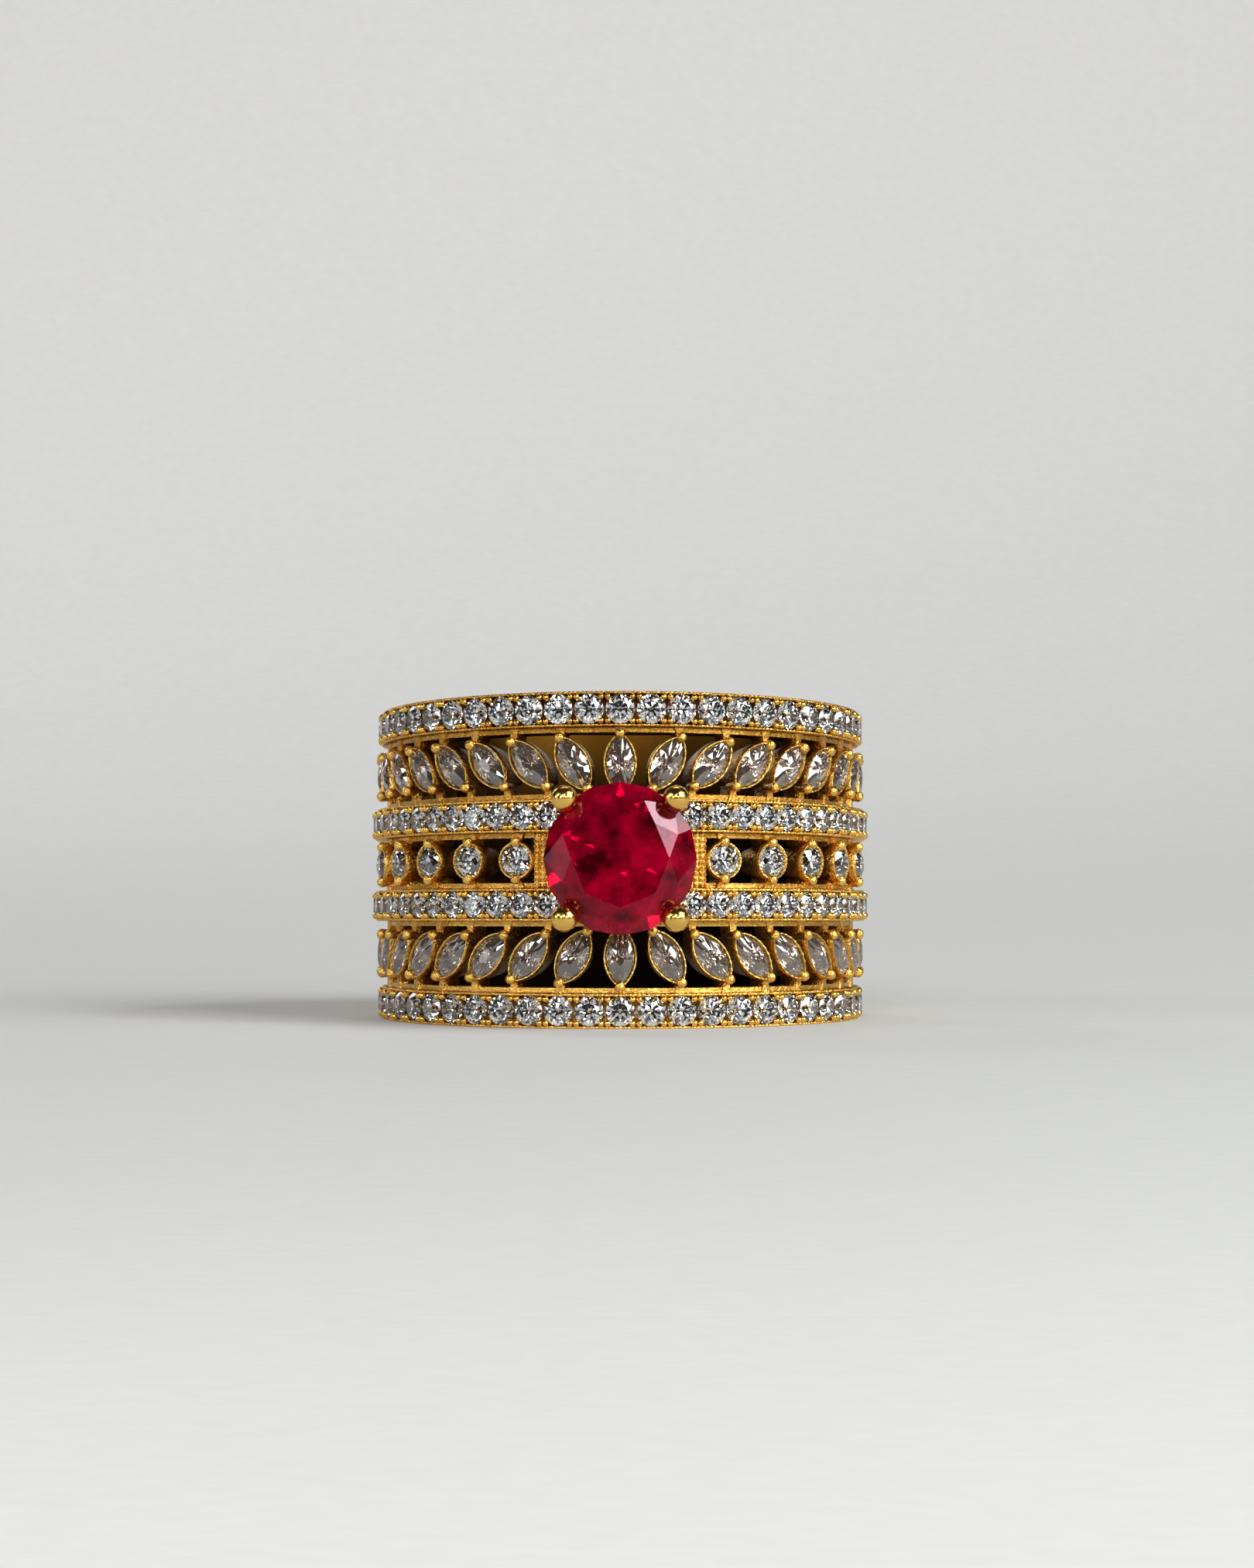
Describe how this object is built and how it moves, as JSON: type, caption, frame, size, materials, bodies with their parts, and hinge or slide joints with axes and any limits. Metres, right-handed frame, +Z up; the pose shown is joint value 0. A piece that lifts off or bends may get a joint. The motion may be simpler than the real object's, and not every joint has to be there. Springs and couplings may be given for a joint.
{
  "type": "cocktail ring",
  "caption": "Wide openwork gold finger ring with four stone-set rails, fanned marquise galleries, side collets and a claw-set round ruby.",
  "frame": {"origin": "on the resting plane, under the middle of the outline's box", "axes": "+Z up, close to the finger hole's axis; the ruby faces -Y; +X is to the right as the ruby is looked at"},
  "size_m": [0.0216, 0.0238, 0.0144],
  "materials": {
    "gold": "rich yellow gold, satin sheen, darker in the recesses",
    "polished_gold": "plain polished yellow gold",
    "white_stone": "round brilliant cut, colourless",
    "champagne_stone": "marquise cut, faint warm tint",
    "ruby": "round brilliant cut, deep crimson"
  },
  "bodies": {
    "root": {"upper_edge_rail": "gold", "upper_inner_rail": "gold", "upper_marquise_gallery": "gold", "upper_edge_pave": "white_stone", "upper_inner_pave_left": "white_stone", "upper_inner_pave_right": "white_stone", "upper_marquise_left_8": "champagne_stone", "upper_marquise_left_7": "champagne_stone", "upper_marquise_left_6": "champagne_stone", "upper_marquise_left_5": "champagne_stone", "upper_marquise_left_4": "champagne_stone", "upper_marquise_left_3": "champagne_stone", "upper_marquise_left_2": "champagne_stone", "upper_marquise_left_1": "champagne_stone", "upper_marquise_centre": "champagne_stone", "upper_marquise_right_1": "champagne_stone", "upper_marquise_right_2": "champagne_stone", "upper_marquise_right_3": "champagne_stone", "upper_marquise_right_4": "champagne_stone", "upper_marquise_right_5": "champagne_stone", "upper_marquise_right_6": "champagne_stone", "upper_marquise_right_7": "champagne_stone", "upper_marquise_right_8": "champagne_stone", "lower_edge_rail": "gold", "lower_inner_rail": "gold", "lower_marquise_gallery": "gold", "lower_edge_pave": "white_stone", "lower_inner_pave_left": "white_stone", "lower_inner_pave_right": "white_stone", "lower_marquise_left_8": "champagne_stone", "lower_marquise_left_7": "champagne_stone", "lower_marquise_left_6": "champagne_stone", "lower_marquise_left_5": "champagne_stone", "lower_marquise_left_4": "champagne_stone", "lower_marquise_left_3": "champagne_stone", "lower_marquise_left_2": "champagne_stone", "lower_marquise_left_1": "champagne_stone", "lower_marquise_centre": "champagne_stone", "lower_marquise_right_1": "champagne_stone", "lower_marquise_right_2": "champagne_stone", "lower_marquise_right_3": "champagne_stone", "lower_marquise_right_4": "champagne_stone", "lower_marquise_right_5": "champagne_stone", "lower_marquise_right_6": "champagne_stone", "lower_marquise_right_7": "champagne_stone", "lower_marquise_right_8": "champagne_stone", "side_stone_left_1": "white_stone", "side_stone_left_2": "white_stone", "side_stone_left_3": "white_stone", "side_stone_left_4": "white_stone", "side_stone_left_5": "white_stone", "side_stone_right_1": "white_stone", "side_stone_right_2": "white_stone", "side_stone_right_3": "white_stone", "side_stone_right_4": "white_stone", "side_stone_right_5": "white_stone", "middle_gallery": "gold", "palm_shank": "polished_gold", "ruby_head": "gold", "centre_ruby": "ruby"}
  },
  "joints": []
}
